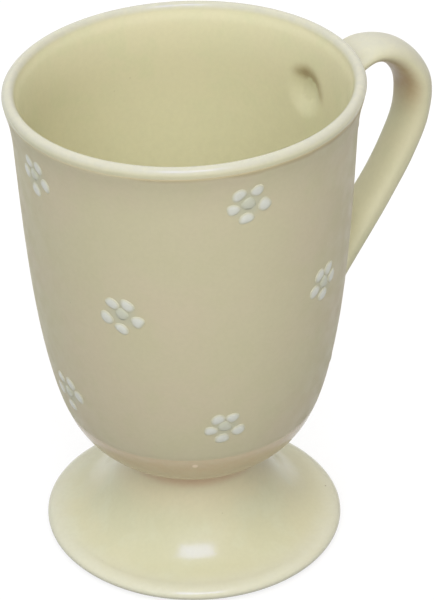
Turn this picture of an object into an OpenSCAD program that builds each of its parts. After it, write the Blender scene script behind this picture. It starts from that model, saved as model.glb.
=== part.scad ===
// Footed mug: a tall glazed bowl with a rolled lip on a flared, hollow foot,
// a strap handle, a beige slip coat and raised slip flowers on the outside.
// Millimetres, +Z up, the table at z = 0, the handle towards +X.

/* [Size] */
// height from the table to the crest of the lip
mug_h = 132; // [122:1:146]
// diameter across the lip at its widest
lip_d = 89.6; // [82:0.2:98]
// diameter across the foot
foot_d = 78.8; // [70:0.2:88]
// height of the foot, from the table to the underside of the bowl
foot_h = 24; // [21:0.5:28]

/* [Bowl] */
// thickness of the bowl's wall
wall_t = 3.4; // [2.8:0.1:4.2]
// thickness of the bowl's floor on the axis
floor_t = 5; // [4:0.1:6.5]
// width of the lip's roll from its crest out to its widest
lip_out_w = 1.7; // [1.3:0.05:2.2]
// width of the lip's roll from its crest in to the mouth
lip_in_w = 1.65; // [1.3:0.05:2.2]
// height of the crest above the lip's widest line
lip_rise = 1.6; // [1.2:0.05:2.2]
// depth over which the roll runs into the inner wall
lip_in_drop = 2.5; // [2:0.05:3.2]
// width of the hollow that the cast handle leaves in the inner wall
dimple_w = 10; // [8:0.2:12]
// depth of that hollow
dimple_deep = 1.5; // [0.8:0.05:2]
// depth of the hollow's middle below the lip
dimple_drop = 14; // [12:0.5:18]
// turn of the hollow about the mug from the middle of the handle
dimple_turn = 8; // [0:1:14]

/* [Foot] */
// diameter of the neck at its narrowest
neck_d = 34.8; // [30:0.2:38]
// height of the foot's rounded edge
edge_h = 4; // [3.2:0.1:5]
// how far the rounding of the edge reaches in
edge_round = 4; // [3:0.1:5]
// width of the flat ring that stands on the table
ring_w = 3; // [2.2:0.1:4]
// height of the hollow under the foot
hollow_h = 16.4; // [13:0.2:18]
// height of the step from the standing ring up to the hollow
ring_step = 1.2; // [0.8:0.1:1.8]

/* [Handle] */
// width of the strap on its long run
handle_w = 12.6; // [11:0.2:16]
// thickness of the strap on its long run
handle_t = 6.8; // [5:0.1:8]
// how far the middle of the strap stands out from the wall
handle_out = 25.2; // [22:0.2:30]
// height from the upper joint down to the lower one
handle_span = 61.5; // [56:0.5:66]
// depth of the upper joint's middle below the lip
handle_drop = 9; // [8:0.1:11]
// how far the ends of the strap run into the wall before the cut
handle_root = 4.4; // [4:0.1:5]

/* [Slip coat] */
// thickness of the beige slip coat
coat_t = 0.3; // [0.2:0.05:0.5]
// depth of the coat's upper edge below the lip
coat_drop = 2.2; // [1.9:0.1:4]

/* [Slip flowers] */
// length of one petal
petal_l = 3.7; // [2.8:0.1:4.4]
// width of one petal
petal_w = 3.2; // [2.6:0.1:3.6]
// how far a petal stands out of the coat
petal_high = 0.6; // [0.3:0.05:0.9]
// gap between a petal and the flower's centre
petal_gap = 0.45; // [0.2:0.05:0.8]
// diameter of the flower's centre
centre_d = 3.2; // [2.4:0.1:3.6]
// how far the centre stands out of the coat
centre_high = 0.55; // [0.3:0.05:0.9]

/* [Hidden] */
$fn = 240;

// Colours
cream = [0.84, 0.82, 0.68];
beige = [0.75, 0.71, 0.59];
white_slip = [0.85, 0.85, 0.82];
grey_slip = [0.73, 0.75, 0.70];

// Bowl's outer line from its pole up to the lip's widest line
// each row: share of the lip's radius, share of the bowl's height
bowl_shares = [
    [0, 0],
    [0.19, 0.003],
    [0.357, 0.0125],
    [0.519, 0.0385],
    [0.636, 0.0805],
    [0.713, 0.13],
    [0.773, 0.199],
    [0.821, 0.285],
    [0.861, 0.385],
    [0.892, 0.495],
    [0.915, 0.61],
    [0.933, 0.73],
    [0.9455, 0.83],
    [0.956, 0.905],
    [0.973, 0.955],
    [0.991, 0.985],
    [1, 1],
];
// share of the bowl's height over which the floor thins to the wall
floor_blend_share = 0.3;
// share of the bowl's height at the lower edge of the slip coat
coat_from_share = 0.153;

// Foot's flare from its edge up to the neck, then out again where it is luted to the bowl
// each row: share of the way in from the edge to the neck, share of the foot's height above the edge
flare_shares = [
    [0, 0],
    [0.24, 0.075],
    [0.46, 0.21],
    [0.65, 0.39],
    [0.81, 0.6],
    [0.93, 0.8],
    [0.985, 0.95],
    [0.98, 1.07],
    [0.88, 1.18],
];
// Hollow under the foot, from the ring's step to the axis
// each row: share of the ring's inner radius, share of the hollow's height above the step
hollow_shares = [
    [0.955, 0],
    [0.85, 0.12],
    [0.72, 0.31],
    [0.59, 0.54],
    [0.45, 0.77],
    [0.25, 0.945],
    [0, 1],
];

// Handle's middle line from the upper joint to the lower one
// each row: share of handle_out from the wall, share of handle_span down,
// share of handle_w, share of handle_t
handle_shares = [
    [0.04, 0, 1.16, 0.68],
    [0.38, -0.052, 1.08, 0.78],
    [0.72, -0.003, 1.03, 1.04],
    [0.975, 0.126, 1.08, 1.16],
    [1.01, 0.291, 0.99, 1.1],
    [0.88, 0.456, 0.94, 1.05],
    [0.66, 0.624, 0.94, 1.02],
    [0.42, 0.768, 1.04, 0.98],
    [0.205, 0.905, 1.05, 0.92],
    [0.03, 1.005, 1.11, 0.93],
];
// 1 is an ellipse, smaller is a flatter strap with rounder sides
strap_flat_share = 0.72;

// Rows of flowers, as shares of the bowl's height
row_height_shares = [0.887, 0.593, 0.269];
// each flower: row, turn about the mug from the handle, turn of the flower, lean of its dabs
flowers = [
    [0, -176.5, -4, -30],
    [0, -99.5, 3, 32],
    [0, 112, 5, -24],
    [0, 42, -6, 40],
    [0, -24, 2, -35],
    [1, -143, -4, -40],
    [1, -65, -2, 28],
    [1, 66, 6, 36],
    [1, 143, 0, -28],
    [2, -176.5, -6, -38],
    [2, -106.5, -3, 22],
    [2, 111, 4, 34],
    [2, 40, 1, -30],
    [2, -28, -5, 26],
];
petals = 5;
// the lowest petal points straight down
petal_start = -93;

// Names of the part's pieces, with two for each flower
function petals_name(i) = str("flower_", i + 1, "_petals");
function centre_name(i) = str("flower_", i + 1, "_centre");

// Steps of the curves
bowl_steps = 4;
foot_steps = 4;
lip_steps = 8;
handle_steps = 5;
strap_sides = 24;
dab_steps = 12;
quarter = 90;
half_turn = 180;
full_turn = 360;
// the roll's inner end, short of upright so that it runs into the wall
roll_end = 162;

// Derived sizes
lip_r = lip_d / 2;
foot_r = foot_d / 2;
neck_r = neck_d / 2;
wide_z = mug_h - lip_rise;
bowl_h = mug_h - foot_h;
wide_h = wide_z - foot_h;
crest_r = lip_r - lip_out_w;
roll_z = mug_h - lip_in_drop;
coat_from = foot_h + coat_from_share * bowl_h;
coat_to = mug_h - coat_drop;
ring_out_r = foot_r - edge_round;
ring_in_r = ring_out_r - ring_w;
joint_up_z = mug_h - handle_drop;
joint_low_z = joint_up_z - handle_span;
petal_ring = centre_d / 2 + petal_gap + petal_l / 2;
// radius of the ball that leaves a round hollow of the named width and depth
dimple_r = (dimple_w * dimple_w / 4 + dimple_deep * dimple_deep) / (2 * dimple_deep);
dimple_z = mug_h - dimple_drop;

// Smooth curve through a list of points, whose first two values are a place
function knot_step(a, b) = sqrt(norm([b[0] - a[0], b[1] - a[1]]));
function mix(a, b, ta, tb, t) = ((tb - t) * a + (t - ta) * b) / (tb - ta);
function between(a, b, c, d, share) =
    let (t1 = knot_step(a, b))
    let (t2 = t1 + knot_step(b, c))
    let (t3 = t2 + knot_step(c, d))
    let (t = t1 + share * (t2 - t1))
    let (ab = mix(a, b, 0, t1, t))
    let (bc = mix(b, c, t1, t2, t))
    let (cd = mix(c, d, t2, t3, t))
    let (abc = mix(ab, bc, 0, t2, t))
    let (bcd = mix(bc, cd, t1, t3, t))
    mix(abc, bcd, t1, t2, t);
function last(p) = p[len(p) - 1];
function past_end(p) = 2 * last(p) - p[len(p) - 2];
function curve(p, before, steps) = [
    for (i = [0 : len(p) - 2])
    let (a = i == 0 ? before : p[i - 1])
    let (d = i == len(p) - 2 ? past_end(p) : p[i + 2])
    for (k = [0 : steps - 1])
    between(a, p[i], p[i + 1], d, k / steps),
    last(p),
];
function reversed(p) = [for (i = [len(p) - 1 : -1 : 0]) p[i]];

// Bowl's outer line
bowl_points = [for (s = bowl_shares) [s[0] * lip_r, foot_h + s[1] * wide_h]];
bowl_line = curve(bowl_points, [-bowl_points[1][0], bowl_points[1][1]], bowl_steps);
radius_by_z = [for (p = bowl_line) [p[1], p[0]]];
function outer_r(z) = lookup(z, radius_by_z);
function line_from_to(z0, z1, inset) = [
    [outer_r(z0) - inset, z0],
    for (p = bowl_line) if (p[1] > z0 && p[1] < z1) [p[0] - inset, p[1]],
    [outer_r(z1) - inset, z1],
];
// Line of the bowl's bare wall, stepped in where the coat lies
bare_line = [
    for (p = bowl_line) if (p[1] < coat_from) p,
    [outer_r(coat_from), coat_from],
    each line_from_to(coat_from, coat_to, coat_t),
    [outer_r(coat_to), coat_to],
    for (p = bowl_line) if (p[1] > coat_to) p,
];

// Rolled lip, from its widest over the crest and down into the mouth
function roll(a, w, rise, z) = [crest_r + w * cos(a), z + rise * sin(a)];
lip_line = [
    for (k = [1 : lip_steps]) roll(quarter * k / lip_steps, lip_out_w, lip_rise, wide_z),
    for (k = [1 : lip_steps])
    roll(quarter + (roll_end - quarter) * k / lip_steps, lip_in_w, lip_in_drop, roll_z),
];

// Bowl's inner line, set in from the outer one by the wall
function wall_at(z) =
    let (s = max(0, 1 - (z - foot_h) / (floor_blend_share * bowl_h)))
    wall_t + (floor_t - wall_t) * s * s;
function set_in(i) =
    let (a = i == 0 ? [-bowl_line[1][0], bowl_line[1][1]] : bowl_line[i - 1])
    let (b = bowl_line[min(i + 1, len(bowl_line) - 1)])
    let (d = b - a)
    let (p = bowl_line[i])
    p + wall_at(p[1]) / norm(d) * [-d[1], d[0]];
set_in_line = [for (i = [0 : len(bowl_line) - 1]) set_in(i)];
mouth_line = [for (p = set_in_line) if (p[1] < roll_z && p[0] < last(lip_line)[0]) [max(0, p[0]), p[1]]];

// Foot's outer line: a rounded edge, the flare and the neck that runs into the bowl
flare_w = ring_out_r - neck_r;
flare_h = foot_h - edge_h;
edge_line = [
    for (k = [0 : lip_steps * 2 - 1])
    let (a = half_turn * k / (lip_steps * 2) - quarter)
    [ring_out_r + edge_round * cos(a), edge_h / 2 * (1 + sin(a))],
];
flare_points = [for (s = flare_shares) [ring_out_r - s[0] * flare_w, edge_h + s[1] * flare_h]];
flare_line = curve(flare_points, flare_points[0] + [edge_round, 0], foot_steps);
hollow_points = [
    for (s = hollow_shares) [s[0] * ring_in_r, ring_step + s[1] * (hollow_h - ring_step)],
];
hollow_line = curve(hollow_points, hollow_points[0] + [ring_step, -ring_step], foot_steps);

// Handle's middle line as x, z, half width and half thickness
function wall_x(z) = outer_r(max(foot_h, min(wide_z, z)));
function strap_point(s) =
    let (z = joint_up_z - s[1] * handle_span)
    let (x = wall_x(joint_up_z) + s[1] * (wall_x(joint_low_z) - wall_x(joint_up_z)))
    [x + s[0] * handle_out, z, s[2] * handle_w / 2, s[3] * handle_t / 2];
strap_points = [for (s = handle_shares) strap_point(s)];
function root_of(p, q) = p + handle_root / norm([p[0] - q[0], p[1] - q[1]]) * (p - q);
strap_all = [
    root_of(strap_points[0], strap_points[1]),
    each strap_points,
    root_of(last(strap_points), strap_points[len(strap_points) - 2]),
];
strap_line = curve(strap_all, 2 * strap_all[0] - strap_all[1], handle_steps);
function signed_power(v) = sign(v) * pow(abs(v), strap_flat_share);
function strap_ring(i) =
    let (a = strap_line[max(0, i - 1)])
    let (b = strap_line[min(len(strap_line) - 1, i + 1)])
    let (d = [b[0] - a[0], b[1] - a[1]] / norm([b[0] - a[0], b[1] - a[1]]))
    let (p = strap_line[i])
    [
        for (k = [0 : strap_sides - 1])
        let (u = full_turn * k / strap_sides)
        let (out = p[3] * signed_power(cos(u)))
        [p[0] - out * d[1], p[2] * signed_power(sin(u)), p[1] + out * d[0]],
    ];
strap_rings = [for (i = [0 : len(strap_line) - 1]) each strap_ring(i)];
strap_count = len(strap_line);
function at(i, k) = i * strap_sides + k % strap_sides;
strap_faces = [
    [for (k = [0 : strap_sides - 1]) at(0, k)],
    for (i = [0 : strap_count - 2])
    for (k = [0 : strap_sides - 1])
    [at(i, k), at(i + 1, k), at(i + 1, k + 1), at(i, k + 1)],
    [for (k = [strap_sides - 1 : -1 : 0]) at(strap_count - 1, k)],
];

// The part's origin is the middle of its footprint, so the mug's axis stands off it
handle_far = max([for (p = strap_rings) p[0]]);
axis_x = (lip_r - handle_far) / 2;

module on_axis() {
    translate([axis_x, 0, 0])
    children();
}

// The whole outer body, for cutting what sits on the wall
module outer_body(z0, z1) {
    rotate_extrude()
    polygon([[0, z0], each line_from_to(z0, z1, 0), [0, z1]]);
}

module bowl() {
    color(cream)
    on_axis()
    difference() {
        rotate_extrude()
        polygon([each bare_line, each lip_line, each reversed(mouth_line)]);
        dimple();
    }
}

// The ball that leaves the hollow of the cast handle in the inner wall
module dimple() {
    rotate([0, 0, dimple_turn])
    translate([outer_r(dimple_z) - wall_t + dimple_deep - dimple_r, 0, dimple_z])
    sphere(r = dimple_r);
}

module slip_coat() {
    color(beige)
    on_axis()
    rotate_extrude()
    polygon([
        each line_from_to(coat_from, coat_to, 0),
        each reversed(line_from_to(coat_from, coat_to, coat_t)),
    ]);
}

module foot() {
    color(cream)
    on_axis()
    difference() {
        rotate_extrude()
        polygon([
            [ring_in_r, 0],
            each edge_line,
            each flare_line,
            [0, last(flare_line)[1]],
            each reversed(hollow_line),
        ]);
        outer_body(foot_h, coat_from);
    }
}

module handle() {
    color(cream)
    on_axis()
    difference() {
        polyhedron(points = strap_rings, faces = strap_faces, convexity = 6);
        outer_body(foot_h, wide_z);
    }
}

// A dab of slip: an oval of the named length and width that stands out of the wall by its
// height, cut from an egg whose long axis lies along the wall
module dab(l, w, high) {
    belly = (w * w / 4 + high * high) / (2 * high);
    sunk = belly - high;
    tip = l / 2 / sqrt(1 - sunk * sunk / (belly * belly));
    translate([-sunk, 0, 0])
    rotate([-quarter, 0, 0])
    rotate_extrude()
    polygon([
        for (k = [0 : dab_steps])
        let (a = half_turn * k / dab_steps)
        [belly * max(0, sin(a)), -tip * cos(a)],
    ]);
}

// Stands a piece on the wall, so many millimetres along it and up it from the flower's middle
function flower_z(f) = foot_h + row_height_shares[f[0]] * bowl_h;
module on_wall(f, along, up) {
    z = flower_z(f) + up;
    slope = atan2(outer_r(z + petal_l) - outer_r(z - petal_l), 2 * petal_l);
    rotate([0, 0, f[1] + along / outer_r(z) * half_turn / PI])
    translate([outer_r(z), 0, z])
    rotate([0, slope, 0])
    children();
}

// The stretch of wall that a flower stands on
module wall_under(f) {
    reach = petal_ring + petal_l;
    outer_body(max(coat_from, flower_z(f) - reach), min(wide_z, flower_z(f) + reach));
}

module flower_petals(i) {
    f = flowers[i];
    color(white_slip)
    on_axis()
    difference() {
        for (k = [0 : petals - 1])
        let (a = petal_start + f[2] + full_turn * k / petals)
        on_wall(f, petal_ring * cos(a), petal_ring * sin(a))
        rotate([f[3], 0, 0])
        dab(petal_l, petal_w, petal_high);
        wall_under(f);
    }
}

module flower_centre(i) {
    f = flowers[i];
    color(grey_slip)
    on_axis()
    difference() {
        on_wall(f, 0, 0)
        dab(centre_d, centre_d, centre_high);
        wall_under(f);
    }
}

bowl();
slip_coat();
foot();
handle();
for (i = [0 : len(flowers) - 1]) {
    flower_petals(i);
    flower_centre(i);
}
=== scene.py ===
# A footed mug: a glazed bowl with a rolled lip, slip coat, flared foot, strap handle and slip
# flowers. Blender works in metres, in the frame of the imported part. Sizes below are in millimetres
# and go through MM.
import math

import bpy
import numpy as np
from mathutils import Matrix, Vector, noise


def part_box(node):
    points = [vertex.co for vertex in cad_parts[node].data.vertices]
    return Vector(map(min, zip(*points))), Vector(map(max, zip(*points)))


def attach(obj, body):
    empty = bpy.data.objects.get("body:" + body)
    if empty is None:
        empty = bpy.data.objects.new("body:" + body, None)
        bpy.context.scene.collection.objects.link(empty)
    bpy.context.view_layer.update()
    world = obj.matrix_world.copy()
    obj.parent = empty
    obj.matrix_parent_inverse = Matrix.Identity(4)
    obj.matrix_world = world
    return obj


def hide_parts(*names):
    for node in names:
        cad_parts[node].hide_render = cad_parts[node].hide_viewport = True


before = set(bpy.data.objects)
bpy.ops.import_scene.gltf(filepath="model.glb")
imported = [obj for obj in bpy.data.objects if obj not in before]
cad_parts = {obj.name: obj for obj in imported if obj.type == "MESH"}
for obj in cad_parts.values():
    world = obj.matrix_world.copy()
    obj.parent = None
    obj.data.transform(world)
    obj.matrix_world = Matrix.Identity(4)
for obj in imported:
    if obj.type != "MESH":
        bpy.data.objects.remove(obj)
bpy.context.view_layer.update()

MM = 0.001
# how far the camera stands round the mug from the part's own front
TURN = math.radians(-29.0)
bowl_lo, bowl_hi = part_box("bowl")
AXIS_X = (bowl_lo[0] + bowl_hi[0]) / 2 / MM

# ---------------------------------------------------------------- sizes, as in the part's source
MUG_H = 132.0
LIP_R = 44.8
FOOT_H = 24.0
WALL = 3.4
FLOOR = 5.0
# the share of the bowl's height over which the wall thickens towards the floor
THICK_SHARE = 0.3
LIP_OUT, LIP_IN, LIP_RISE, LIP_DROP = 1.7, 1.65, 1.6, 2.5
COAT_LOW, COAT_HIGH = 40.5, 129.75
WIDE_Z = MUG_H - LIP_RISE
BOWL_SHARES = [
    (0, 0), (0.19, 0.003), (0.357, 0.0125), (0.519, 0.0385), (0.636, 0.0805), (0.713, 0.13),
    (0.773, 0.199), (0.821, 0.285), (0.861, 0.385), (0.892, 0.495), (0.915, 0.61), (0.933, 0.73),
    (0.9455, 0.83), (0.956, 0.905), (0.973, 0.955), (0.991, 0.985), (1, 1),
]
FLARE_SHARES = [
    (0, 0), (0.24, 0.075), (0.46, 0.21), (0.65, 0.39), (0.81, 0.6), (0.93, 0.8), (0.985, 0.95),
    (0.98, 1.07), (0.88, 1.18),
]
HOLLOW_SHARES = [
    (0.955, 0), (0.85, 0.12), (0.72, 0.31), (0.59, 0.54), (0.45, 0.77), (0.25, 0.945), (0, 1),
]
FOOT_R, NECK_R = 39.4, 17.4
EDGE_H, EDGE_ROUND, RING_W, HOLLOW_H, RING_STEP = 4.0, 4.0, 3.0, 16.4, 1.2
HANDLE_W, HANDLE_T, HANDLE_OUT, HANDLE_SPAN, HANDLE_DROP = 12.6, 6.8, 25.2, 61.5, 9.0
# along the strap: how far out, how far down, and its width and thickness
HANDLE_SHARES = [
    (0.04, 0, 1.16, 0.68), (0.38, -0.052, 1.08, 0.78), (0.72, -0.003, 1.03, 1.04),
    (0.975, 0.126, 1.08, 1.16), (1.01, 0.291, 0.99, 1.1), (0.88, 0.456, 0.94, 1.05),
    (0.66, 0.624, 0.94, 1.02), (0.42, 0.768, 1.04, 0.98), (0.205, 0.905, 1.05, 0.92),
    (0.03, 1.005, 1.11, 0.93),
]
ROW_SHARES = (0.887, 0.593, 0.269)
# row, turn about the mug from the handle, turn of the flower, lean of its dabs
FLOWERS = [
    (0, -176.5, -4, -30), (0, -99.5, 3, 32), (0, 112, 5, -24), (0, 42, -6, 40), (0, -24, 2, -35),
    (1, -143, -4, -40), (1, -65, -2, 28), (1, 66, 6, 36), (1, 143, 0, -28),
    (2, -176.5, -6, -38), (2, -106.5, -3, 22), (2, 111, 4, 34), (2, 40, 1, -30), (2, -28, -5, 26),
]
# places and lean of the dabs of the flowers that the camera sees, along the wall and up it
SEEN_DABS = {
    0: [(-2.4, 2.5, -34), (1.7, 2.3, -38), (3.8, -1.8, -36), (-0.4, -4.7, -40), (-4.2, -1.1, -30)],
    1: [(-2.3, 3.2, 40), (2.25, 3.7, 50), (4.35, -0.75, 54), (-0.3, -3.7, 12), (-3.6, -0.75, 10)],
    5: [(-2.2, 3.0, -36), (1.8, 3.25, -32), (4.2, -1.2, -36), (-0.1, -4.1, -36), (-4.0, -1.6, -42)],
    6: [(-2.0, 2.65, 40), (1.7, 3.0, 52), (3.6, -0.2, 48), (-0.1, -3.8, 30), (-3.7, -1.4, 34)],
    9: [(-2.5, 4.6, -40), (2.0, 4.8, -36), (4.5, 1.8, -34), (-0.2, -3.5, -40), (-4.3, -0.1, -38)],
    10: [(-1.7, 2.9, 26), (2.0, 2.9, 34), (3.7, -1.85, 30), (-0.4, -3.95, 8), (-3.4, -0.85, 4)],
}
SEEN_CENTRES = {
    0: (-0.6, -0.5), 1: (0.15, 0.3), 5: (0.3, 0.35), 6: (0.1, -0.3), 9: (0.1, 1.2), 10: (0.05, 0.2),
}
PETAL_L, PETAL_W, PETAL_HIGH, PETAL_RING = 3.8, 3.25, 0.26, 3.9
CENTRE_L, CENTRE_W, CENTRE_HIGH = 3.2 * 1.06, 3.2, 0.3

# ---------------------------------------------------------------- how fine the meshes are
BOWL_TURNS, COAT_TURNS, FOOT_TURNS = 320, 520, 320
OUTER_STEP, INNER_STEP, FLARE_STEP, STRAP_STEP = 1.1, 0.9, 0.7, 0.8
COAT_ROWS, COAT_BACK_ROWS = 112, 18
LIP_STEPS, EDGE_STEPS, STRAP_SIDES = 13, 25, 72
DAB_RINGS, DAB_SIDES = 7, 30
# points from one given point of a curve to the next
BOWL_SPAN, FLARE_SPAN, HOLLOW_SPAN, STRAP_SPAN = 16, 10, 8, 24


# ---------------------------------------------------------------- curves
def knot(a, b):
    return math.sqrt(math.dist(a[:2], b[:2]))


def curve(points, before, steps):
    """Centripetal smooth curve through the points, whose first two values are a place."""
    pts = [np.array(p, float) for p in points]
    after = 2 * pts[-1] - pts[-2]
    full = [np.array(before, float)] + pts + [after]
    out = []
    for i in range(1, len(full) - 2):
        a, b, c, d = full[i - 1], full[i], full[i + 1], full[i + 2]
        t1 = knot(a, b)
        t2 = t1 + knot(b, c)
        t3 = t2 + knot(c, d)
        for k in range(steps):
            t = t1 + (t2 - t1) * k / steps
            ab = ((t1 - t) * a + t * b) / t1
            bc = ((t2 - t) * b + (t - t1) * c) / (t2 - t1)
            cd = ((t3 - t) * c + (t - t2) * d) / (t3 - t2)
            abc = ((t2 - t) * ab + t * bc) / t2
            bcd = ((t3 - t) * bc + (t - t1) * cd) / (t3 - t1)
            out.append(((t2 - t) * abc + (t - t1) * bcd) / (t2 - t1))
    out.append(pts[-1])
    return np.array(out)


def resampled(line, step):
    """The same line with points at even steps along it."""
    line = np.array(line, float)
    d = np.r_[0, np.cumsum(np.linalg.norm(np.diff(line[:, :2], axis=0), axis=1))]
    n = max(2, int(round(d[-1] / step)) + 1)
    s = np.linspace(0, d[-1], n)
    return np.stack([np.interp(s, d, line[:, k]) for k in range(line.shape[1])], 1)


def smooth(x, lo, hi):
    """A soft step from 0 at lo to 1 at hi."""
    t = np.clip((x - lo) / (hi - lo), 0, 1)
    return t * t * (3 - 2 * t)


def around(t, middle):
    """The angle from middle to t, between half a turn back and half a turn on."""
    return np.mod(t - middle + math.pi, 2 * math.pi) - math.pi


bowl_points = [(s[0] * LIP_R, FOOT_H + s[1] * (WIDE_Z - FOOT_H)) for s in BOWL_SHARES]
BOWL_LINE = curve(bowl_points, (-bowl_points[1][0], bowl_points[1][1]), BOWL_SPAN)


def outer_r(z):
    return np.interp(z, BOWL_LINE[:, 1], BOWL_LINE[:, 0])


def wall_normal(z, reach=0.6):
    """Outward normal of the bowl's wall as (radial, up) at height z."""
    d = (outer_r(z + reach) - outer_r(z - reach)) / (2 * reach)
    n = math.hypot(1, d)
    return 1 / n, -d / n


# ---------------------------------------------------------------- mesh makers
ON_AXIS = 1e-6


def made(name, verts, faces, attrs):
    """A smooth-shaded object from points in millimetres, with a value for each point by name."""
    me = bpy.data.meshes.new(name)
    me.from_pydata([tuple(v) for v in np.asarray(verts, float) * MM], [], faces)
    me.polygons.foreach_set("use_smooth", np.ones(len(me.polygons), bool))
    for key, values in attrs.items():
        layer = me.attributes.new(key, "FLOAT", "POINT")
        layer.data.foreach_set("value", np.asarray(values, np.float32))
    me.validate()
    me.update()
    ob = bpy.data.objects.new(name, me)
    bpy.context.scene.collection.objects.link(ob)
    return ob


def lathe(name, line, turns, shape, attrs, closed=False):
    """A turned body from a list of (radius, height). shape moves the points, attrs names values."""
    line = np.asarray(line, float)
    theta = np.arange(turns) * 2 * math.pi / turns
    rows, rz, start = [], [], 0
    for r, z in line:
        if r < ON_AXIS and not closed:
            rows.append([start])
            rz.append([(0.0, 0.0, z)])
            start += 1
        else:
            rows.append(list(range(start, start + turns)))
            rz.append([(t, r, z) for t in theta])
            start += turns
    cyl = np.array([p for row in rz for p in row])
    t = cyl[:, 0]
    r, z = shape(t, cyl[:, 1], cyl[:, 2])
    verts = np.stack([AXIS_X + r * np.cos(t), r * np.sin(t), z], 1)
    faces = []
    pairs = list(zip(rows, rows[1:]))
    if closed:
        pairs.append((rows[-1], rows[0]))
    for a, b in pairs:
        if len(a) == 1 and len(b) == 1:
            continue
        for k in range(turns):
            n = (k + 1) % turns
            if len(a) == 1:
                faces.append((a[0], b[n], b[k]))
            elif len(b) == 1:
                faces.append((a[k], a[n], b[0]))
            else:
                faces.append((a[k], a[n], b[n], b[k]))
    return made(name, verts, faces, {k: f(t, r, z) for k, f in attrs.items()})


def waves(t, amp, seed, orders=(2, 3, 4, 5, 7)):
    """A small uneven wave round the mug, the same each run. seed shifts the waves that it is made
    of and shares the size out between them, and the shorter ones are lower."""
    out = 0
    for n, k in enumerate(orders):
        out = out + math.cos(seed * 1.7 + n) * np.sin(k * t + seed * 2.3 + n * 1.9) / k ** 0.6
    return amp * out


# ---------------------------------------------------------------- bowl
# the lip of this mug isn't quite level: its rise per millimetre towards the camera's right
LIP_TILT = 0.0175
# the unevenness of a body made by hand: how far it goes out and up at the lip, the share of it that
# the body below has, the radii between which it begins, and the height from which it grows
UNEVEN_OUT, UNEVEN_UP, UNEVEN_BODY, UNEVEN_BEGINS, UNEVEN_FROM = 0.05, 0.03, 0.4, (3, 20), 95


def lip_lean(t, r):
    return LIP_TILT * r * np.cos(t - TURN)


def bowl_shape(t, r, z):
    """The turned body made slightly uneven, as by hand, most of all at the lip."""
    high = smooth(z, UNEVEN_FROM, MUG_H)
    out = waves(t, UNEVEN_OUT, 1.0) * smooth(r, *UNEVEN_BEGINS)
    up = waves(t, UNEVEN_UP, 2.0) * high
    return r + out * (UNEVEN_BODY + high), z + lip_lean(t, r) * high + up


def set_in(line):
    """The inner wall's line: the outer one set in by the wall, thicker towards the floor."""
    out = []
    full = np.vstack([[-line[1][0], line[1][1]], line])
    for i in range(1, len(full)):
        a, b = full[i - 1], full[min(i + 1, len(full) - 1)]
        d = b - a
        z = full[i][1]
        s = max(0, 1 - (z - FOOT_H) / (THICK_SHARE * (MUG_H - FOOT_H)))
        w = WALL + (FLOOR - WALL) * s * s
        out.append(full[i] + w / np.linalg.norm(d) * np.array([-d[1], d[0]]))
    return np.array(out)


# the lip's roll comes so many degrees round before it runs into the inner wall, which ends so far
# below the roll's middle
LIP_END, LIP_CLEAR = 162, 0.6
crest_r = LIP_R - LIP_OUT
roll_z = MUG_H - LIP_DROP
lip = []
for a in np.linspace(0, math.pi / 2, LIP_STEPS)[1:]:
    lip.append((crest_r + LIP_OUT * math.cos(a), WIDE_Z + LIP_RISE * math.sin(a)))
for a in np.radians(np.linspace(90, LIP_END, LIP_STEPS))[1:]:
    lip.append((crest_r + LIP_IN * math.cos(a), roll_z + LIP_DROP * math.sin(a)))
inner = [p for p in set_in(BOWL_LINE) if p[1] < roll_z - LIP_CLEAR and p[0] < lip[-1][0]]
inner = [np.array([max(0.0, p[0]), p[1]]) for p in inner]
inner[0] = np.array([0.0, inner[0][1]])
# the last points of the inner wall give way to a curve of two spans that joins it to the lip
JOIN_BACK, JOIN_STEPS = 6, 6
join = curve([lip[-2], lip[-1], inner[-3], inner[-JOIN_BACK]], lip[-3], JOIN_STEPS)
inner_line = np.vstack([inner[:-JOIN_BACK], join[::-1][: 2 * JOIN_STEPS + 1]])

outer_part = resampled(BOWL_LINE, OUTER_STEP)
inner_part = resampled(inner_line, INNER_STEP)[::-1]
bowl_profile = np.vstack([outer_part, lip, inner_part[1:]])

# the hollow behind the handle: its place, reach and depth, how softly it starts, the way its steep
# side faces, how much shorter that side is and how much longer the easy one, and the heights of the
# wall that it stays between
DIMPLE = dict(turn=8.0, z=115.5, across=6.6, deep=1.9, soft=1.8, faces=math.radians(70),
              steep=1.02, easy=0.8, between=(90, 128))
FAR_AWAY = 9.0


def is_inner(r, z):
    return outer_r(z) - r > WALL * 0.6


def is_outer(r, z):
    return outer_r(z) - r < WALL * 0.3


def in_dimple(t, r, z):
    """How far out from the hollow's middle a point of the inner wall lies, 0 to 1, and how far to
    its steep side."""
    along = around(t, math.radians(DIMPLE["turn"])) * r / DIMPLE["across"]
    up = (z - DIMPLE["z"]) / DIMPLE["across"]
    c, s = math.cos(DIMPLE["faces"]), math.sin(DIMPLE["faces"])
    to, by = up * s - along * c, up * c + along * s
    lo, hi = DIMPLE["between"]
    d = np.hypot(to * np.where(to > 0, DIMPLE["steep"], DIMPLE["easy"]), by)
    return np.where(is_inner(r, z) & (z > lo) & (z < hi), d, FAR_AWAY), to


def bowl_dimple(t, r, z):
    """The bowl with the round hollow that the cast handle leaves in its inner wall."""
    r2, z2 = bowl_shape(t, r, z)
    d, _ = in_dimple(t, r, z)
    return r2 + DIMPLE["deep"] * np.clip(1 - d * d, 0, 1) ** DIMPLE["soft"], z2


# heights between which the bowl's glaze changes: paler over the lip, painted shade above the seam
# with the foot, painted shade below the coat, and painted light far down inside
LIP_PALE, SEAM_SHADE, BAND_TOP, DEEP_LIGHT = (130.1, 131.6), (27.9, 30.2), (41, 42), (84, 120)
# how fully painted shade turns the glaze at the seam and in the hollow's crease, and painted light
# on the hollow's lit easy side
SEAM_SHARE, CREASE_SHARE, EASY_SHARE = 0.9, 0.8, 0.75


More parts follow.
